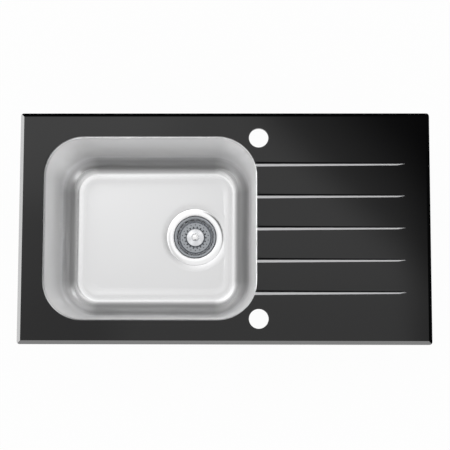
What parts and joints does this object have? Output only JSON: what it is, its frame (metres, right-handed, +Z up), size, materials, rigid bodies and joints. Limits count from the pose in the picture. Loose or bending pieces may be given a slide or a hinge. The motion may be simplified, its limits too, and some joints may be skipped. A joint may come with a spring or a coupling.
{
  "type": "kitchen sink",
  "caption": "Inset kitchen sink: black bevelled glass top with tapering drainer grooves, a drawn steel bowl, a basket strainer waste and swing clamps below.",
  "frame": {"origin": "centre of the glass outline, at the height of the worktop's upper face where the sealing tape under the glass rests", "axes": "+Z up, +X along the long side towards the drainer, +Y towards the wall behind the sink"},
  "size_m": [0.78, 0.44, 0.27],
  "materials": {
    "black_glass": "toughened glass, black coated below, gloss, polished bevels",
    "satin_steel": "satin drawn stainless steel",
    "polished_steel": "polished stainless steel",
    "zinc_steel": "zinc plated steel",
    "rail_steel": "galvanised folded sheet",
    "brass": "turned",
    "white_plastic": "moulded polypropylene",
    "black_plastic": "moulded",
    "black_rubber": "moulded rubber",
    "black_sealant": "cured sealant",
    "foam_tape": "closed cell foam",
    "sound_pad": "bitumen felt"
  },
  "bodies": {
    "sink": {"glass_top": "black_glass", "rim_seal": "foam_tape", "bowl": "satin_steel", "bowl_bond": "black_sealant", "sound_pad": "sound_pad", "earth_tag": "zinc_steel", "waste_dish": "polished_steel", "dish_seal": "black_rubber", "body_seal": "black_rubber", "waste_body": "white_plastic", "body_insert": "brass", "centre_screw": "polished_steel", "rail_bonds": "black_sealant", "clamp_bolts": "zinc_steel", "rail_front_bowl": "rail_steel", "rail_back_bowl": "rail_steel", "rail_front_drainer": "rail_steel", "rail_back_drainer": "rail_steel", "rail_left": "rail_steel", "rail_right": "rail_steel"},
    "basket_socket": {"snap_socket": "black_plastic", "spring_ring": "zinc_steel"},
    "basket": {"basket_cup": "polished_steel", "basket_knob": "polished_steel", "basket_stem": "polished_steel", "stem_spacer": "polished_steel", "pressure_plate": "polished_steel", "stopper_seal": "black_rubber"},
    "nut_front_bowl": {"wing_nut_front_bowl": "zinc_steel"},
    "claw_front_bowl": {"claw_front_bowl": "zinc_steel"},
    "nut_back_bowl": {"wing_nut_back_bowl": "zinc_steel"},
    "claw_back_bowl": {"claw_back_bowl": "zinc_steel"},
    "nut_front_drainer": {"wing_nut_front_drainer": "zinc_steel"},
    "claw_front_drainer": {"claw_front_drainer": "zinc_steel"},
    "nut_back_drainer": {"wing_nut_back_drainer": "zinc_steel"},
    "claw_back_drainer": {"claw_back_drainer": "zinc_steel"},
    "nut_left": {"wing_nut_left": "zinc_steel"},
    "claw_left": {"claw_left": "zinc_steel"},
    "nut_right": {"wing_nut_right": "zinc_steel"},
    "claw_right": {"claw_right": "zinc_steel"}
  },
  "joints": [
    {"name": "basket_lift", "type": "slide", "parent": "sink", "child": "basket_socket", "axis": [0, 0, 1], "range_m": [0, 0.08]},
    {"name": "basket_turn", "type": "hinge", "parent": "basket_socket", "child": "basket", "pos_m": [-0.062, 0, -0.175], "axis": [0, 0, 1], "continuous": true},
    {"name": "front_bowl_tighten", "type": "slide", "parent": "sink", "child": "nut_front_bowl", "axis": [0, 0, 1], "range_m": [0, 0.014]},
    {"name": "front_bowl_swing", "type": "hinge", "parent": "nut_front_bowl", "child": "claw_front_bowl", "pos_m": [-0.16, -0.197, -0.046], "axis": [0, 0, 1], "range_deg": [0, 90]},
    {"name": "back_bowl_tighten", "type": "slide", "parent": "sink", "child": "nut_back_bowl", "axis": [0, 0, 1], "range_m": [0, 0.014]},
    {"name": "back_bowl_swing", "type": "hinge", "parent": "nut_back_bowl", "child": "claw_back_bowl", "pos_m": [-0.16, 0.197, -0.046], "axis": [0, 0, 1], "range_deg": [0, 90]},
    {"name": "front_drainer_tighten", "type": "slide", "parent": "sink", "child": "nut_front_drainer", "axis": [0, 0, 1], "range_m": [0, 0.014]},
    {"name": "front_drainer_swing", "type": "hinge", "parent": "nut_front_drainer", "child": "claw_front_drainer", "pos_m": [0.225, -0.197, -0.046], "axis": [0, 0, 1], "range_deg": [0, 90]},
    {"name": "back_drainer_tighten", "type": "slide", "parent": "sink", "child": "nut_back_drainer", "axis": [0, 0, 1], "range_m": [0, 0.014]},
    {"name": "back_drainer_swing", "type": "hinge", "parent": "nut_back_drainer", "child": "claw_back_drainer", "pos_m": [0.225, 0.197, -0.046], "axis": [0, 0, 1], "range_deg": [0, 90]},
    {"name": "left_tighten", "type": "slide", "parent": "sink", "child": "nut_left", "axis": [0, 0, 1], "range_m": [0, 0.014]},
    {"name": "left_swing", "type": "hinge", "parent": "nut_left", "child": "claw_left", "pos_m": [-0.367, 0, -0.046], "axis": [0, 0, 1], "range_deg": [0, 90]},
    {"name": "right_tighten", "type": "slide", "parent": "sink", "child": "nut_right", "axis": [0, 0, 1], "range_m": [0, 0.014]},
    {"name": "right_swing", "type": "hinge", "parent": "nut_right", "child": "claw_right", "pos_m": [0.367, 0, -0.046], "axis": [0, 0, 1], "range_deg": [0, 90]}
  ]
}
